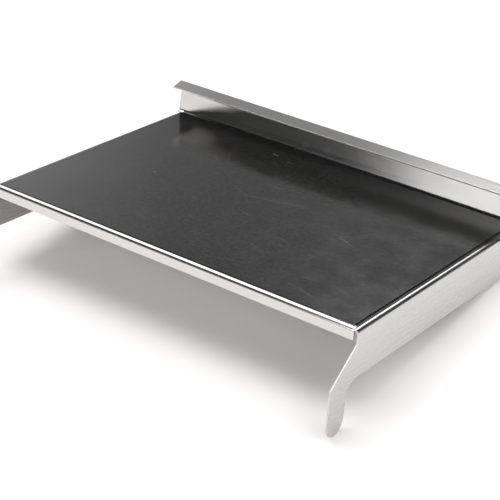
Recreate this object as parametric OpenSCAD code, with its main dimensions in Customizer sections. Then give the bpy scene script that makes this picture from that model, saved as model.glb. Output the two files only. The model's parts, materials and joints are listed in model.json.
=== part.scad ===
// Tabletop slide for food: a folded steel deck with a nose at the front and a
// stop wall at the back, carried by two side brackets that end in front legs.
// Everything is drawn level, with the deck's upper face at z = 0 and the nose's
// front face at y = 0, and is then tipped back until it stands on a table.

/* [Overall size] */
// Width over the two side brackets
slide_w = 457; // [300:1:700]
// Depth of the deck, from the nose to the foot of the stop wall
deck_d = 311; // [200:1:480]

/* [Sheet] */
// Thickness of the steel sheet
sheet_t = 1.6; // [1:0.1:2.4]
// Inside radius of each bend
bend_r = 3; // [1.6:0.2:4]

/* [Deck] */
// Height of the nose, from the deck's upper face down
nose_h = 13; // [10:0.5:30]
// How far the deck's side edge stops short of the bracket's outer face
deck_inset = 8.6; // [7.6:0.2:16]
// Gap between the end of the nose and the tangent of the bracket's bend
nose_gap = 0.2; // [0.1:0.1:2]

/* [Stop wall] */
// Height of the stop wall, from the deck's upper face to the top of its return
wall_h = 37.4; // [24:0.2:80]
// Angle by which the stop wall leans back from square
wall_lean = 5.4; // [0:0.2:15]
// How far each end of the stop wall stops short of the bracket's outer face
wall_inset = 0.6; // [0.2:0.2:10]
// Depth of the return, from the back of its bend to its front edge
return_d = 26; // [14:0.5:40]
// Angle by which the return droops towards the front
return_droop = 2.4; // [0:0.2:12]
// How much narrower each end of the return is at its front edge
return_taper = 6; // [0:0.5:15]

/* [Side brackets] */
// Height of the side panel, from the deck's upper face down
panel_h = 51.5; // [30:0.5:90]
// Height of the leg, from the deck's upper face down
leg_h = 101; // [70:0.5:140]
// How far the leg stands in front of the nose
leg_reach = 37.6; // [20:0.2:60]
// Width of the leg
leg_w = 27.3; // [16:0.1:36]
// Drop of the panel's front edge before it turns into the leg
shoulder_h = 16; // [12:0.5:28]
// Drop to the corner where the slanted front edge turns straight down
elbow_h = 48.6; // [34:0.2:64]
// Radius of the inside corner between the leg and the panel
crook_r = 16; // [4:0.5:24]
// Radius of the panel's lower back corner, on which it stands
heel_r = 4; // [1:0.5:12]
// Width of the ledge that carries the deck, from the bracket's outer face in
ledge_w = 24; // [14:0.5:40]

/* [Slide sheet] */
// Thickness of the non-stick sheet
film_t = 0.4; // [0.2:0.1:1]
// Gap between the non-stick sheet's ends and the bends of nose and stop wall
film_gap = 0.3; // [0.1:0.1:3]

/* [Hidden] */
$fn = 96;

half_w = slide_w / 2;
bend_out = bend_r + sheet_t;
bend_steps = 16;
deck_half = half_w - deck_inset;
nose_half = half_w - bend_out - nose_gap;
wall_half = half_w - wall_inset;

// Foot of the stop wall: where the deck's upper face starts to turn up
foot_y = deck_d - bend_r * cos(wall_lean)
    + bend_r * (1 - sin(wall_lean)) * tan(wall_lean);
foot = [foot_y, bend_r];
// Head of the stop wall: centre of the bend into the return
head_z = wall_h - bend_out;
head_face_z = head_z - bend_r * sin(wall_lean);
head = [deck_d + head_face_z * tan(wall_lean) - bend_r * cos(wall_lean), head_z];
return_len = return_d - bend_out;

// Bracket outline in the plane of the panel
rear_y = deck_d + sheet_t;
panel_top = -sheet_t - bend_out;
leg_front = -leg_reach;
leg_back = leg_front + leg_w;
tip_r = leg_w / 2;
tip = [leg_front + tip_r, -leg_h + tip_r];
heel = [rear_y - heel_r, -panel_h + heel_r];
front_gap = 0.5;
ledge_front = bend_out + 1;
ledge_back = foot_y;

// The table touches the leg's tip and the heel, and lies level
heel_run = heel - tip;
tilt = atan2(heel_run[1], heel_run[0]) + asin((tip_r - heel_r) / norm(heel_run));
function stood(p) = [p[0] * cos(tilt) + p[1] * sin(tilt), p[1] * cos(tilt) - p[0] * sin(tilt)];
table_z = stood(tip)[1] - tip_r;
y_front = stood(tip)[0] - tip_r;
y_back = stood(head)[0] + bend_out;

module stand() {
    translate([0, -(y_front + y_back) / 2, -table_z]) rotate([-tilt, 0, 0]) children();
}

// Draws a side view and gives it a width, centred on x = 0
module across(width) {
    rotate([90, 0, 90]) linear_extrude(width, center = true) children();
}

// Draws a front view and gives it a depth from y0 to y1
module along(y0, y1) {
    translate([0, y1, 0]) rotate([90, 0, 0]) linear_extrude(y1 - y0) children();
}

// Points on a round stretch of an outline, from one angle to the other
function arc(centre, r, from, to) = [
    for (i = [0:bend_steps])
        let (a = from + (to - from) * i / bend_steps) centre + r * [cos(a), sin(a)]
];

// The shell seen from its side: along the nose, deck, stop wall and return on the
// upper side of the sheet, and back along its lower side
module shell_side_view() {
    nose_bend = [bend_out, -bend_out];
    along_return = [-cos(return_droop), -sin(return_droop)] * return_len;
    return_up = [-sin(return_droop), cos(return_droop)];
    polygon(concat(
        [[0, -nose_h]],
        arc(nose_bend, bend_out, 180, 90),
        arc(foot, bend_r, -90, -wall_lean),
        arc(head, bend_r, -wall_lean, 90 + return_droop),
        [head + along_return + bend_r * return_up],
        [head + along_return + bend_out * return_up],
        arc(head, bend_out, 90 + return_droop, -wall_lean),
        arc(foot, bend_out, -wall_lean, -90),
        arc(nose_bend, bend_r, 90, 180),
        [[sheet_t, -nose_h]]
    ));
}

// What is trimmed from one end of the shell: the nose stops at the bracket's bend,
// the deck lies on the ledge, and the return is cut back towards its front edge
module shell_end_trim() {
    translate([nose_half, -sheet_t, -nose_h - sheet_t])
        cube([bend_out + sheet_t, sheet_t + bend_out, nose_h + 2 * sheet_t]);
    translate([deck_half, bend_out, -2 * sheet_t])
        cube([deck_inset + sheet_t, foot_y - bend_out, 3 * sheet_t]);
    translate([0, 0, wall_h / 2]) linear_extrude(wall_h) polygon([
        [wall_half, head[0]],
        [wall_half + sheet_t, head[0]],
        [wall_half + sheet_t, head[0] - 2 * return_len],
        [wall_half - 2 * return_taper, head[0] - 2 * return_len]
    ]);
}

module deck_shell() {
    color("silver") stand() difference() {
        across(2 * wall_half) shell_side_view();
        for (side = [0, 1]) mirror([side, 0, 0]) shell_end_trim();
    }
}

// The sheet lies on the deck, steps down over each side edge and ends on the ledge
module sheet_front_view() {
    film_half = half_w - bend_out;
    translate([-deck_half - film_t, 0]) square([2 * (deck_half + film_t), film_t]);
    for (side = [-1, 1]) {
        translate([side * (deck_half + film_t / 2), -sheet_t / 2])
            square([film_t, sheet_t], center = true);
        translate([side * (deck_half + film_half) / 2, -sheet_t + film_t / 2])
            square([film_half - deck_half, film_t], center = true);
    }
}

module slide_sheet() {
    color("dimgray") stand() along(bend_out + film_gap, foot_y - film_gap) sheet_front_view();
}

// The flat of a side panel with its leg, seen from the side
module panel_side_view() {
    difference() {
        union() {
            polygon([
                [front_gap, panel_top],
                [rear_y, panel_top],
                [rear_y, heel[1]],
                [heel[0], heel[1]],
                [heel[0], -panel_h],
                [leg_back, -panel_h],
                [leg_back, tip[1]],
                [leg_front, tip[1]],
                [leg_front, -elbow_h],
                [front_gap, -shoulder_h]
            ]);
            translate(heel) circle(r = heel_r);
            translate(tip) circle(r = tip_r);
            translate([leg_back, -panel_h - crook_r]) square(crook_r);
        }
        translate([leg_back + crook_r, -panel_h - crook_r]) circle(r = crook_r);
    }
}

module right_bracket_shape() {
    translate([half_w - sheet_t / 2, 0, 0]) across(sheet_t) panel_side_view();
    along(front_gap, rear_y) translate([half_w - bend_out, panel_top]) intersection() {
        difference() {
            circle(r = bend_out);
            circle(r = bend_r);
        }
        square(bend_out);
    }
    along(ledge_front, ledge_back)
        translate([half_w - ledge_w, -2 * sheet_t]) square([ledge_w - bend_out, sheet_t]);
}

module right_bracket() {
    color("lightgray") stand() right_bracket_shape();
}

module left_bracket() {
    color("lightgray") stand() mirror([1, 0, 0]) right_bracket_shape();
}

deck_shell();
slide_sheet();
left_bracket();
right_bracket();
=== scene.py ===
"""Looks for a tabletop food slide: one folded steel shell, two steel side brackets
and the dark non-stick sheet that lies on the deck. Run top to bottom, in metres."""

import json
import math

import bmesh
import bpy
from mathutils import Matrix, Vector


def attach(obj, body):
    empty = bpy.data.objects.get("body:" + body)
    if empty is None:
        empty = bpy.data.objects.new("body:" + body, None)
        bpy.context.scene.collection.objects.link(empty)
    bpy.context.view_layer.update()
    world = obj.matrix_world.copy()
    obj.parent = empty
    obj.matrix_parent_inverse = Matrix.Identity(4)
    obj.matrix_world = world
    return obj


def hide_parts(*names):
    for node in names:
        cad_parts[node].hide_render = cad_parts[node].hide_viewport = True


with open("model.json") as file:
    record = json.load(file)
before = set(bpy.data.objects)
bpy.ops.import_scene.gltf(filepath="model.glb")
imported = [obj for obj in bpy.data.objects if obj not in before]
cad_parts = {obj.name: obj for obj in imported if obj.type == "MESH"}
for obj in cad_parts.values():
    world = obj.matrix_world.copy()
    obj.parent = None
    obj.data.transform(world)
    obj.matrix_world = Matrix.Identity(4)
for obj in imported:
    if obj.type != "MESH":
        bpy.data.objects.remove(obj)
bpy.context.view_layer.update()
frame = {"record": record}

# ---------------------------------------------------------------- camera
# The slide is seen from its front right corner, a little above, through a long
# lens that leans slightly to one side.
camera_place = Vector((0.841683, -1.095597, 0.911099))
looks_at = Vector((0.060801, -0.071444, 0.087261))
camera_lean = math.radians(1.289)

camera = bpy.data.objects.new("camera", bpy.data.cameras.new("camera"))
camera.data.lens = 112.44
camera.data.sensor_width = 36
camera.data.clip_end = 100
camera.location = camera_place
camera.rotation_mode = "QUATERNION"
camera.rotation_quaternion = (
    (looks_at - camera_place).to_track_quat("-Z", "Y").to_matrix()
    @ Matrix.Rotation(-camera_lean, 3, "Z")
).to_quaternion()
bpy.context.scene.collection.objects.link(camera)
bpy.context.scene.camera = camera

# ---------------------------------------------------------------- folded shell
# One blank of stainless sheet makes the nose, the deck, the stop wall and the return
# above it: three folds, each over the same small radius. It lies on the brackets'
# ledges, and the return's ends are cut back so that no corner sticks out. Sizes are in
# metres and angles in degrees.
sheet_t = 0.0016
bend_r = 0.003
film_t = 0.0004
bend_out = bend_r + sheet_t
bend_steps = 12
steel_arris = 0.0002
nose_h = 0.013
deck_d = 0.311
deck_inset = 0.0086
nose_gap = 0.0002
wall_h = 0.0374
wall_lean = 5.4
wall_inset = 0.0006
return_d = 0.026
return_droop = 2.4
return_taper = 0.006

# The slide is drawn level, as the sheet-metal worker draws it: x across, y from the
# nose to the back, z up from the deck's face. Then it is tipped back on its legs.
faces = {m["name"]: m for m in frame["record"]["mounts"]}
half_w = faces["right_side"]["pos_m"][0]
deck_up = Vector(faces["deck_face"]["axis"])
deck_back = -Vector(faces["nose_face"]["axis"])
nose_point = Vector(faces["nose_face"]["pos_m"])
deck_point = Vector(faces["deck_face"]["pos_m"])
corner = nose_point + deck_up * ((deck_point - nose_point).dot(deck_up) - film_t)
stand = Matrix.Identity(4)
for row in range(3):
    stand[row][1] = deck_back[row]
    stand[row][2] = deck_up[row]
    stand[row][3] = corner[row]


def arc(centre, radius, start, end, steps=bend_steps):
    """Points on a round stretch of an outline, with angles in degrees."""
    angles = [math.radians(start + (end - start) * i / steps) for i in range(steps + 1)]
    return [
        (centre[0] + radius * math.cos(a), centre[1] + radius * math.sin(a)) for a in angles
    ]


def metal_sheet(name, points, quads, thickness, arris, steel, cut_steel):
    """A folded sheet from the mesh of its outer face, with its cut edges eased."""
    mesh = bpy.data.meshes.new(name)
    mesh.from_pydata([stand @ Vector(p) for p in points], [], quads)
    shape = bmesh.new()
    shape.from_mesh(mesh)
    loose = [v for v in shape.verts if not v.link_faces]
    bmesh.ops.delete(shape, geom=loose, context="VERTS")
    shape.to_mesh(mesh)
    shape.free()
    mesh.shade_smooth()
    mesh.materials.append(steel)
    mesh.materials.append(cut_steel)
    piece = bpy.data.objects.new(name, mesh)
    bpy.context.scene.collection.objects.link(piece)
    wall = piece.modifiers.new("thickness", "SOLIDIFY")
    wall.thickness = thickness
    wall.offset = -1
    wall.use_even_offset = True
    wall.material_offset_rim = 1
    ease = piece.modifiers.new("eased edges", "BEVEL")
    ease.width = arris
    ease.segments = 2
    ease.limit_method = "ANGLE"
    ease.angle_limit = math.radians(40)
    flat = piece.modifiers.new("flat faces", "WEIGHTED_NORMAL")
    flat.keep_sharp = True
    return piece


def add(tree, kind, **settings):
    """A shader node with its settings."""
    node = tree.nodes.new(kind)
    for name, value in settings.items():
        setattr(node, name, value)
    return node


def ramp(tree, value, span, result, curve="LINEAR"):
    """Value carried over from one range to another, and held at the ends."""
    carried = add(tree, "ShaderNodeMapRange", interpolation_type=curve)
    for key, number in zip(("From Min", "From Max", "To Min", "To Max"), (*span, *result)):
        carried.inputs[key].default_value = number
    tree.links.new(value, carried.inputs["Value"])
    return carried.outputs["Result"]


def new_material(name):
    """An empty material, with its tree and its shader."""
    made = bpy.data.materials.new(name)
    made.use_nodes = True
    tree = made.node_tree
    tree.nodes.clear()
    shader = tree.nodes.new("ShaderNodeBsdfPrincipled")
    output = tree.nodes.new("ShaderNodeOutputMaterial")
    tree.links.new(shader.outputs["BSDF"], output.inputs["Surface"])
    return made, tree, shader


def drawn_place(tree):
    """Where a point is on the level drawing: across, back from the nose, and up."""
    place = add(tree, "ShaderNodeTexCoord")
    level = add(tree, "ShaderNodeMapping")
    to_level = stand.inverted()
    level.inputs["Location"].default_value = to_level.translation
    level.inputs["Rotation"].default_value = to_level.to_euler()
    tree.links.new(place.outputs["Object"], level.inputs["Vector"])
    return level.outputs["Vector"]


def brushed_steel(name, colour, grain, stretch, roughness, anisotropy, groove):
    """Stainless steel with the mill's fine linear brush along grain, a direction.

    Stretch scales the brush marks across, back and up, and groove is their depth.
    """
    made, tree, shader = new_material(name)
    link = tree.links.new
    place = drawn_place(tree)

    def streaks(fineness, detail):
        run = add(tree, "ShaderNodeVectorMath", operation="MULTIPLY")
        run.inputs[1].default_value = [s * fineness for s in stretch]
        link(place, run.inputs[0])
        noise = add(tree, "ShaderNodeTexNoise")
        noise.inputs["Scale"].default_value = 1
        noise.inputs["Detail"].default_value = detail
        link(run.outputs["Vector"], noise.inputs["Vector"])
        return noise.outputs["Fac"]

    fine = streaks(1, 2)
    coarse = streaks(0.12, 3)
    both = add(tree, "ShaderNodeMath", operation="ADD")
    link(fine, both.inputs[0])
    link(coarse, both.inputs[1])
    noise_span = (0.7, 1.3)
    link(ramp(tree, both.outputs[0], noise_span, roughness), shader.inputs["Roughness"])

    tint = add(tree, "ShaderNodeVectorMath", operation="SCALE")
    tint.inputs[0].default_value = colour
    link(ramp(tree, both.outputs[0], noise_span, (0.97, 1.03)), tint.inputs["Scale"])
    link(tint.outputs["Vector"], shader.inputs["Base Color"])

    relief = add(tree, "ShaderNodeBump")
    relief.inputs["Strength"].default_value = 1
    relief.inputs["Distance"].default_value = groove
    link(fine, relief.inputs["Height"])
    link(relief.outputs["Normal"], shader.inputs["Normal"])

    along = add(tree, "ShaderNodeCombineXYZ")
    for i, size in enumerate(grain):
        along.inputs[i].default_value = size
    link(along.outputs["Vector"], shader.inputs["Tangent"])
    shader.inputs["Metallic"].default_value = 1
    shader.inputs["Anisotropic"].default_value = anisotropy
    shader.inputs["Anisotropic Rotation"].default_value = 0.25
    return made


def sheared_steel(name, colour):
    """The cut edge of the sheet: dull, slightly rough steel with no brush."""
    made, tree, shader = new_material(name)
    link = tree.links.new
    place = add(tree, "ShaderNodeTexCoord")
    grit = add(tree, "ShaderNodeTexNoise")
    grit.inputs["Scale"].default_value = 900
    link(place.outputs["Object"], grit.inputs["Vector"])
    link(ramp(tree, grit.outputs["Fac"], (0, 1), (0.3, 0.5)), shader.inputs["Roughness"])
    shader.inputs["Base Color"].default_value = (*colour, 1)
    shader.inputs["Metallic"].default_value = 1
    return made


cut_edge = sheared_steel("sheared steel edge", (0.66, 0.65, 0.64))
shell_steel = brushed_steel(
    "steel brushed across",
    colour=(0.65, 0.64, 0.63),
    grain=(1, 0, 0),
    stretch=(6, 1400, 1400),
    roughness=(0.12, 0.16),
    anisotropy=0.8,
    groove=0.000001,
)

lean = math.radians(wall_lean)
droop = math.radians(return_droop)
foot = (deck_d - bend_r * math.cos(lean) + bend_r * (1 - math.sin(lean)) * math.tan(lean), bend_r)
head_z = wall_h - bend_out
head_y = deck_d + (head_z - bend_r * math.sin(lean)) * math.tan(lean) - bend_r * math.cos(lean)
return_len = return_d - bend_out
lip = (
    head_y - return_len * math.cos(droop) - bend_r * math.sin(droop),
    head_z - return_len * math.sin(droop) + bend_r * math.cos(droop),
)
nose_profile = [(0, -nose_h), *arc((bend_out, -bend_out), bend_out, 180, 90)]
wall_profile = [
    *arc(foot, bend_r, -90, -wall_lean),
    *arc((head_y, head_z), bend_r, -wall_lean, 90 + return_droop),
    lip,
]
shell_profile = nose_profile + wall_profile

wall_half = half_w - wall_inset
nose_half = half_w - bend_out - nose_gap
deck_half = half_w - deck_inset
columns = [-wall_half, -nose_half, -deck_half, deck_half, nose_half, wall_half]
last = len(shell_profile) - 1


def shell_half(strip):
    """Half the blank's width on one strip of the profile, counted from the nose."""
    if strip < len(nose_profile) - 1:
        return nose_half
    return deck_half if strip == len(nose_profile) - 1 else wall_half


points = []
for i, (y, z) in enumerate(shell_profile):
    narrowed = 1 - return_taper / wall_half if i == last else 1
    points += [(x * narrowed, y, z) for x in columns]
across = len(columns)
quads = []
for i in range(last):
    for j in range(across - 1):
        if max(abs(columns[j]), abs(columns[j + 1])) <= shell_half(i):
            a = i * across + j
            quads.append((a, a + 1, a + across + 1, a + across))
shell = metal_sheet("folded_shell", points, quads, sheet_t, steel_arris, shell_steel, cut_edge)
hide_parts("deck_shell")
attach(shell, "root")

# ---------------------------------------------------------------- side brackets
# Each bracket is one blank of the same stainless sheet: a side panel that runs down
# into a front leg with a round tip, folded over along the top and carried on under the
# deck as a narrow ledge, on which the shell lies.
panel_h = 0.0515
leg_h = 0.101
leg_reach = 0.0376
leg_w = 0.0273
shoulder_h = 0.016
elbow_h = 0.0486
crook_r = 0.016
heel_r = 0.004
ledge_w = 0.024
ledge_gap = 0.001
front_gap = 0.0005

rear_y = deck_d + sheet_t
panel_top = -sheet_t - bend_out
leg_front = -leg_reach
leg_back = leg_front + leg_w
tip_r = leg_w / 2
stops = [front_gap, bend_out + ledge_gap, foot[0], rear_y]
panel_outline = [
    *arc((rear_y - heel_r, heel_r - panel_h), heel_r, 0, -90, 8),
    *arc((leg_back + crook_r, -panel_h - crook_r), crook_r, 90, 180, 16),
    *arc((leg_front + tip_r, tip_r - leg_h), tip_r, 0, -180, 32),
    (leg_front, -elbow_h),
    (front_gap, -shoulder_h),
]
bend_rows = arc((half_w - bend_out, panel_top), bend_out, 0, 90)
bracket_steel = brushed_steel(
    "steel brushed lengthways",
    colour=(0.6, 0.6, 0.6),
    grain=tuple(deck_back),
    stretch=(1400, 6, 1400),
    roughness=(0.25, 0.3),
    anisotropy=0.6,
    groove=0.0000004,
)


def bracket(name, side):
    """One bracket, on the right (1) or the left (-1), with its panel facing outwards."""
    points = [(side * half_w, y, z) for y, z in panel_outline]
    first_row = len(points)
    for x, z in [*bend_rows, (half_w - ledge_w, -sheet_t)]:
        points += [(side * x, y, z) for y in stops]
    along = len(stops)
    quads = [tuple(range(first_row + along))]
    for i in range(len(bend_rows)):
        for j in range(along - 1):
            if i < len(bend_rows) - 1 or j == 1:
                a = first_row + i * along + j
                quads.append((a, a + 1, a + along + 1, a + along))
    made = metal_sheet(name, points, quads, sheet_t, steel_arris, bracket_steel, cut_edge)
    shape = bmesh.new()
    shape.from_mesh(made.data)
    bmesh.ops.recalc_face_normals(shape, faces=shape.faces)
    panel = max(shape.faces, key=lambda f: f.calc_area())
    if panel.normal.x * side < 0:
        bmesh.ops.reverse_faces(shape, faces=shape.faces)
    shape.to_mesh(made.data)
    shape.free()
    return made


for name, side in (("right_bracket", 1), ("left_bracket", -1)):
    made = bracket(name + "_steel", side)
    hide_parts(name)
    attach(made, "root")

# ---------------------------------------------------------------- non-stick sheet
# A thin dark non-stick sheet covers the deck, steps down over its side edges and lies
# on the brackets' ledges. It is smooth, with the faint marks of use.
film_gap = 0.0003
film_arris = 0.00008
film_climbs_to = -14

# Where use has marked the sheet: the middle of each mark, measured from the slide's
# middle and from the nose, its angle, its length, its width and how much it shows.
scratches = [
    (0.010, 0.175, 16, 0.110, 0.0018, 0.020),
    (0.018, 0.181, 14, 0.090, 0.0012, 0.014),
    (0.0205, 0.117, 88, 0.100, 0.0012, 0.010),
    (0.118, 0.146, -20, 0.022, 0.0014, 0.030),
    (0.112, 0.152, 65, 0.016, 0.0012, 0.030),
    (0.127, 0.141, 40, 0.012, 0.0010, 0.024),
    (-0.128, 0.145, 10, 0.006, 0.0030, 0.060),
    (-0.110, 0.131, 8, 0.036, 0.0012, 0.014),
    (-0.064, 0.280, -12, 0.012, 0.0030, 0.060),
    (-0.040, 0.272, 5, 0.016, 0.0020, 0.020),
    (0.060, 0.030, 24, 0.070, 0.0014, 0.012),
    (0.150, 0.026, -14, 0.060, 0.0016, 0.014),
    (-0.160, 0.070, 30, 0.050, 0.0012, 0.010),
]
cup_ring = (0.0685, 0.086, 0.018)
# The fine scuffs that lie one way: their fineness, angle, stretch and how much they show.
scuffs = [
    (330, 12, 0.16, 0.017),
    (300, -41, 0.2, 0.014),
    (300, 74, 0.2, 0.014),
]


def non_stick(name):
    """Dark satin coating with a fine mottle, hairline scratches and a faint ring."""
    made, tree, shader = new_material(name)
    link = tree.links.new
    place = drawn_place(tree)

    def noise_at(fineness, detail, turn=0, stretch=1):
        run = add(tree, "ShaderNodeMapping")
        run.inputs["Rotation"].default_value = (0, 0, math.radians(turn))
        run.inputs["Scale"].default_value = (stretch, 1, 1)
        link(place, run.inputs["Vector"])
        noise = add(tree, "ShaderNodeTexNoise")
        noise.inputs["Scale"].default_value = fineness
        noise.inputs["Detail"].default_value = detail
        link(run.outputs["Vector"], noise.inputs["Vector"])
        return noise.outputs["Fac"]

    def eased(value, low, high, out_low, out_high):
        return ramp(tree, value, (low, high), (out_low, out_high), "SMOOTHSTEP")

    def total(a, b):
        both = add(tree, "ShaderNodeMath", operation="ADD")
        link(a, both.inputs[0])
        link(b, both.inputs[1])
        return both.outputs[0]

    def spot(x, y, angle, length, width):
        """1 in the middle of a long thin patch, fading to 0 at its edge."""
        fit = add(tree, "ShaderNodeMapping", vector_type="TEXTURE")
        fit.inputs["Location"].default_value = (x, y, 0)
        fit.inputs["Rotation"].default_value = (0, 0, math.radians(angle))
        fit.inputs["Scale"].default_value = (length / 2, width / 2, 1)
        link(place, fit.inputs["Vector"])
        fade = add(tree, "ShaderNodeTexGradient", gradient_type="SPHERICAL")
        link(fit.outputs["Vector"], fade.inputs["Vector"])
        return fade.outputs["Fac"]

    marks = None
    for fineness, turn, stretch, show in scuffs:
        scuff = eased(noise_at(fineness, 1, turn, stretch), 0.66, 0.84, 0, show)
        marks = scuff if marks is None else total(marks, scuff)
    for x, y, angle, length, width, show in scratches:
        marks = total(marks, eased(spot(x, y, angle, length, width), 0, 0.6, 0, show))
    ring_x, ring_y, ring_r = cup_ring
    ring = spot(ring_x, ring_y, 0, 4 * ring_r, 4 * ring_r)
    marks = total(marks, eased(ring, 0.36, 0.5, 0, 0.005))
    marks = total(marks, eased(ring, 0.5, 0.62, 0, -0.0035))

    mottle = eased(noise_at(240, 5), 0.32, 0.68, 0.008, 0.021)
    cloud = eased(noise_at(16, 4), 0.35, 0.65, 0, 0.003)
    grey = total(total(mottle, cloud), marks)
    colour = add(tree, "ShaderNodeVectorMath", operation="SCALE")
    colour.inputs[0].default_value = (1.03, 1, 0.97)
    link(grey, colour.inputs["Scale"])
    link(colour.outputs["Vector"], shader.inputs["Base Color"])

    satin = eased(noise_at(30, 4), 0.3, 0.7, 0.11, 0.17)
    worn = eased(marks, 0, 0.03, 0, 0.2)
    link(total(satin, worn), shader.inputs["Roughness"])
    relief = add(tree, "ShaderNodeBump")
    relief.inputs["Strength"].default_value = 1
    relief.inputs["Distance"].default_value = 0.00001
    link(noise_at(900, 2), relief.inputs["Height"])
    link(relief.outputs["Normal"], shader.inputs["Normal"])
    shader.inputs["IOR"].default_value = 1.5
    return made


film_half = half_w - bend_out
film_edge = deck_half + film_t
film_rows = [
    (film_half, film_t - sheet_t),
    (film_edge, film_t - sheet_t),
    *arc((film_edge - film_t, 0), film_t, 0, 90, 4),
]
film_rows = [(-x, z) for x, z in film_rows] + film_rows[::-1]
film_ends = (bend_out + film_gap, foot[0] - film_gap)
points = [(x, y, z) for x, z in film_rows for y in film_ends]
quads = [(2 * i, 2 * i + 2, 2 * i + 3, 2 * i + 1) for i in range(len(film_rows) - 1)]
middle = len(film_rows) // 2
foot_rise = arc(foot, bend_r - film_t, -90, film_climbs_to, 8)
left_line = [2 * middle - 1] + [len(points) + i for i in range(len(foot_rise))]
right_line = [2 * middle + 1] + [i + len(foot_rise) for i in left_line[1:]]
for x, z in film_rows[middle - 1:middle + 1]:
    points += [(x, y, rise) for y, rise in foot_rise]
for i in range(len(foot_rise)):
    quads.append((left_line[i], right_line[i], right_line[i + 1], left_line[i + 1]))
dark = non_stick("dark non-stick")
film = metal_sheet("slide_sheet_film", points, quads, film_t, film_arris, dark, dark)
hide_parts("slide_sheet")
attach(film, "root")

# ---------------------------------------------------------------- studio
# A pale table, 40 metres across, under soft boxes that stand all round it. The room
# behind them is dark, and the camera sees a plain pale backdrop in their place.
far = 20
floor_corners = [(-far, -far, 0), (far, -far, 0), (far, far, 0), (-far, far, 0)]
floor_mesh = bpy.data.meshes.new("floor")
floor_mesh.from_pydata(floor_corners, [], [(0, 1, 2, 3)])
floor = bpy.data.objects.new("floor", floor_mesh)
bpy.context.scene.collection.objects.link(floor)
paint, tree, shader = new_material("pale table")
shader.inputs["Base Color"].default_value = (0.92, 0.9, 0.885, 1)
shader.inputs["Roughness"].default_value = 0.9
shader.inputs["Specular IOR Level"].default_value = 0
floor_mesh.materials.append(paint)

# Each soft box: where its middle is, round from the back of the slide and up from the
# table, its half width and half height, all in degrees, how soft its edge is as a
# share of its half size, and its brightness.
soft_boxes = [
    (0, 90, 181, 16, 0.3, 4.6),
    (-88, 66, 40, 12, 0.3, 3.3),
    (-85, 46, 32, 12, 0.3, 2.1),
    (78, 60, 34, 14, 0.3, 2.6),
    (85, 38, 32, 12, 0.3, 1.7),
    (95, 18, 40, 10, 0.3, 0.9),
    (150, 25, 32, 18, 0.3, 1.5),
    (-166, 24, 14, 10, 0.15, 5.6),
    (-143, 10.5, 16, 4, 0.4, 0.5),
    (-128, 54, 16, 7, 0.3, 0.8),
    (-165, 42, 18, 8, 0.3, 1.3),
    (-19, 31.5, 10, 8, 0.5, 8.0),
    (0, 61, 42, 13, 0.4, 1.0),
    (-58, 11, 15, 8, 1.2, 2.9),
    (-37, 16, 15, 8, 0.8, 0.4),
]
room = bpy.data.worlds.new("studio")
room.use_nodes = True
tree = room.node_tree
tree.nodes.clear()
link = tree.links.new


def sum_of(operation, a, b=None):
    """One step of arithmetic on two sockets or numbers."""
    step = add(tree, "ShaderNodeMath", operation=operation)
    for socket, value in zip(step.inputs, (a, b)):
        if isinstance(value, (int, float)):
            socket.default_value = value
        elif value is not None:
            link(value, socket)
    return step.outputs[0]


def faded(distance, half_size, softness):
    """1 inside a soft box and 0 outside it, by the distance from its middle."""
    span = (half_size * (1 + softness / 2), half_size * (1 - softness / 2))
    return ramp(tree, distance, span, (0, 1), "SMOOTHSTEP")


way = add(tree, "ShaderNodeTexCoord")
parts = add(tree, "ShaderNodeSeparateXYZ")
link(way.outputs["Generated"], parts.inputs["Vector"])
height = sum_of("DEGREES", sum_of("ARCSINE", parts.outputs["Z"]))
turn = sum_of("DEGREES", sum_of("ARCTAN2", parts.outputs["X"], parts.outputs["Y"]))
glow = 0.03
for turn_to, up_to, half_across, half_up, softness, brightness in soft_boxes:
    away = sum_of("WRAP", sum_of("SUBTRACT", turn, turn_to), 180)
    away.node.inputs[2].default_value = -180
    across = faded(sum_of("ABSOLUTE", away), half_across, softness)
    up = faded(sum_of("ABSOLUTE", sum_of("SUBTRACT", height, up_to)), half_up, softness)
    glow = sum_of("ADD", glow, sum_of("MULTIPLY", sum_of("MULTIPLY", across, up), brightness))

lit = add(tree, "ShaderNodeBackground")
link(glow, lit.inputs["Strength"])
plain = add(tree, "ShaderNodeBackground")
plain.inputs["Color"].default_value = (0.85, 0.85, 0.85, 1)
seen = add(tree, "ShaderNodeLightPath")
choice = add(tree, "ShaderNodeMixShader")
link(seen.outputs["Is Camera Ray"], choice.inputs["Fac"])
link(lit.outputs["Background"], choice.inputs[1])
link(plain.outputs["Background"], choice.inputs[2])
sky = add(tree, "ShaderNodeOutputWorld")
link(choice.outputs["Shader"], sky.inputs["Surface"])
bpy.context.scene.world = room
bpy.context.scene.view_settings.view_transform = "Standard"
